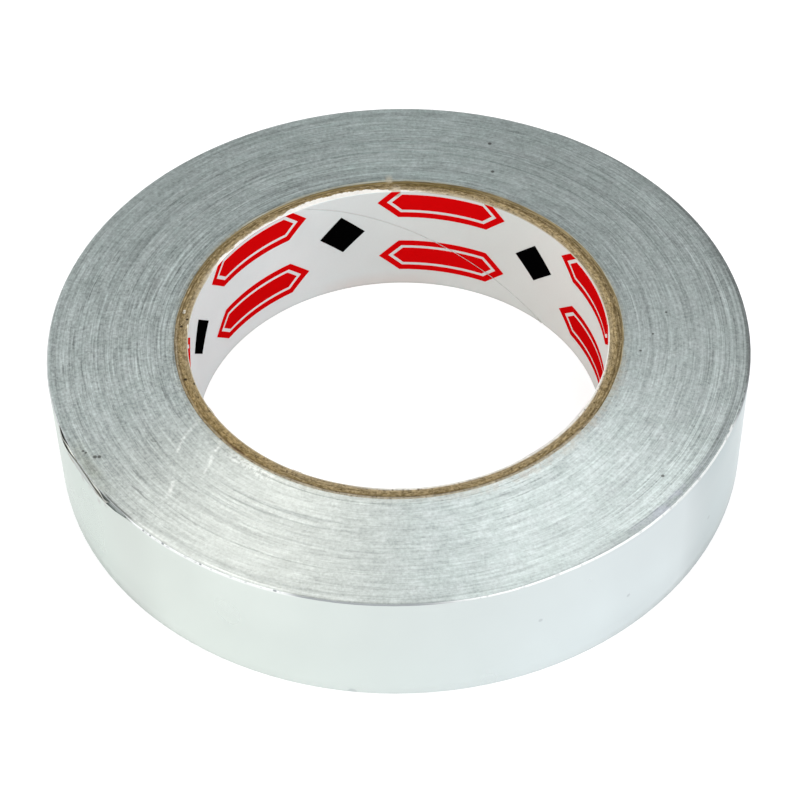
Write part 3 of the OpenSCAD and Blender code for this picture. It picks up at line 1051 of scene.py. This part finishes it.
# The core

CORE_COLUMNS = 420
CORE_ROWS = 14
# Depth of the end's surface and how rough it is, and the width of a ply line's slopes
CORE_DEPTH = 0.03
CORE_ROUGH = 0.03
CORE_DEEPEST = 0.3
GROOVE = 0.14
# Place of the two outermost rows between the ply lines, as a share of a ply
RIM_PLACE = 0.25


def core_board(kraft):
    """The kraft tube with a fibrous, slightly domed edge on each ply"""
    rng = np.random.default_rng(SEED + 1)
    angles = np.arange(CORE_COLUMNS) * 360 / CORE_COLUMNS
    across = np.linspace(0, 1, CORE_ROWS)
    radii = TUBE_R + across * (TUBE_OUTER_R - TUBE_R)
    ply = across * TUBE_PLIES % 1
    groove = np.minimum(ply, 1 - ply)
    groove[[0, -1]] = RIM_PLACE
    sink = PLY_LINE_DEPTH * (1 - smoothstep(groove, 0, GROOVE))
    r = np.broadcast_to(radii, (CORE_COLUMNS, CORE_ROWS))
    ends = []
    for _ in range(2):
        rough = rng.standard_normal((CORE_COLUMNS, CORE_ROWS))
        rough = (rough + np.roll(rough, 1, axis=0) + np.roll(rough, -1, axis=0)) / 3
        ends.append(np.clip(CORE_DEPTH + sink + CORE_ROUGH * rough, 0, CORE_DEEPEST))
    top, low = ends
    radii = np.hstack([r, r[:, ::-1]])
    heights = np.hstack([TAPE_W - top, low[:, ::-1]])
    points, faces, slots = closed_loft(angles, radii, heights, 0)
    piece = mesh_piece("core_board", points, faces, [kraft], slots, sharp=50)
    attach(piece, "root")
    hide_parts("core_tube")


def paint(node, material):
    """Gives a CAD node its material"""
    slots = frame["nodes"][node].data.materials
    slots.clear()
    slots.append(material)


# The stage

# The floor: half its side in metres, its albedo, and the glow that makes it white
FLOOR_HALF = 4.0
FLOOR_ALBEDO = 0.66
FLOOR_GLOW = 0.5
# Brightness of the room by the height of the direction, from the horizon to the zenith
HORIZON_LEVEL = 1.0
ZENITH_LEVEL = 0.83
ROOM_LEVELS = ((0.22, 1.0), (0.36, 0.46), (0.8, 0.87))
# Distance of the lamps in metres
LAMP_DISTANCE = 1.1


def plain(level):
    """A colour without a tint"""
    return level, level, level, 1


def seen_directly(m):
    """1 for rays that look at a surface, in a mirror or through glass too"""
    path = m.add("LightPath").outputs
    seen = m.math("MAXIMUM", path["Is Camera Ray"], path["Is Glossy Ray"])
    return m.math("MAXIMUM", seen, path["Is Transmission Ray"])


def floor():
    """A pale floor that the camera and mirrors see as white"""
    mesh = bpy.data.meshes.new("floor")
    h = FLOOR_HALF
    mesh.from_pydata([(-h, -h, 0), (h, -h, 0), (h, h, 0), (-h, h, 0)], [], [(0, 1, 2, 3)])
    material = bpy.data.materials.new("pale_floor")
    m = Nodes(material)
    diffuse = m.add("BsdfDiffuse", plain(FLOOR_ALBEDO))
    glow = m.add("Emission", plain(1), m.math("MULTIPLY", seen_directly(m), FLOOR_GLOW))
    both = m.add("AddShader", diffuse.outputs[0], glow.outputs[0])
    m.add("OutputMaterial", both.outputs[0])
    mesh.materials.append(material)
    new_object("floor", mesh)


def world():
    """A white wall all round up to a low height, and a dim room above it"""
    made = bpy.data.worlds.new("studio")
    bpy.context.scene.world = made
    m = Nodes(made)
    sky = m.add("TexCoord").outputs["Generated"]
    ramp = m.add("ValToRGB", m.add("SeparateXYZ", sky).outputs["Z"])
    stops = ramp.color_ramp.elements
    stops[0].color = plain(HORIZON_LEVEL)
    stops[-1].color = plain(ZENITH_LEVEL)
    for place, level in ROOM_LEVELS:
        stops.new(place).color = plain(level)
    m.add("OutputWorld", m.add("Background", ramp.outputs[0]).outputs[0])


def lamp(name, azimuth, elevation, size, radiance, tint=(1, 1, 1)):
    """A square soft lamp that looks at the roll. radiance is its face's brightness."""
    light = bpy.data.lights.new(name, "AREA")
    light.shape = "SQUARE"
    light.size = size
    light.energy = radiance * math.pi * size * size
    light.color = tint
    holder = new_object(name, light)
    height = math.radians(elevation)
    away = Vector((*direction(azimuth, math.cos(height)), math.sin(height)))
    holder.location = away * LAMP_DISTANCE
    holder.rotation_euler = away.to_track_quat("Z", "Y").to_euler()


def camera():
    """The camera at the photo's viewing angle"""
    down = math.radians(CAMERA_DOWN)
    roll = math.radians(CAMERA_ROLL)
    right = Vector((1, 0, 0))
    up = Vector((0, math.sin(down), math.cos(down)))
    ahead = Vector((0, math.cos(down), -math.sin(down)))
    centre = Vector((0, 0, TAPE_W / 2))
    place = centre - CAMERA_SHIFT_RIGHT * right - CAMERA_SHIFT_UP * up - CAMERA_DISTANCE * ahead
    turned_right = math.cos(roll) * right - math.sin(roll) * up
    turned_up = math.sin(roll) * right + math.cos(roll) * up
    data = bpy.data.cameras.new("camera")
    data.sensor_width = SENSOR_W
    data.lens = FOCAL_PX * SENSOR_W / IMAGE_W
    data.clip_start = 0.01
    holder = new_object("camera", data)
    turn = Matrix((turned_right, turned_up, -ahead)).transposed()
    holder.matrix_world = Matrix.Translation(place * MM) @ turn.to_4x4()
    bpy.context.scene.camera = holder


camera()
floor()
world()
lamp("key", azimuth=-90, elevation=62, size=0.8, radiance=1.7)
lamp("front", azimuth=-90, elevation=45, size=0.3, radiance=2.2)
lamp("left", azimuth=116.7, elevation=63.9, size=0.21, radiance=5.0, tint=(1.0, 0.94, 0.89))
lamp("right", azimuth=61.8, elevation=63.3, size=0.31, radiance=3.0, tint=(1.0, 0.98, 0.98))
bpy.context.scene.view_settings.view_transform = "Standard"

tape_turns(turn_edge_material(), foil_material(), torn_bed_material(), rim_material())
torn_sliver(sliver_foil_material(), adhesive_material(), release_paper_material())
core_board(kraft_material())
paint("core_lining", paper_material())
paint("print_red", ink_material("red_ink", RED_INK))
paint("print_black", ink_material("black_ink", BLACK_INK))
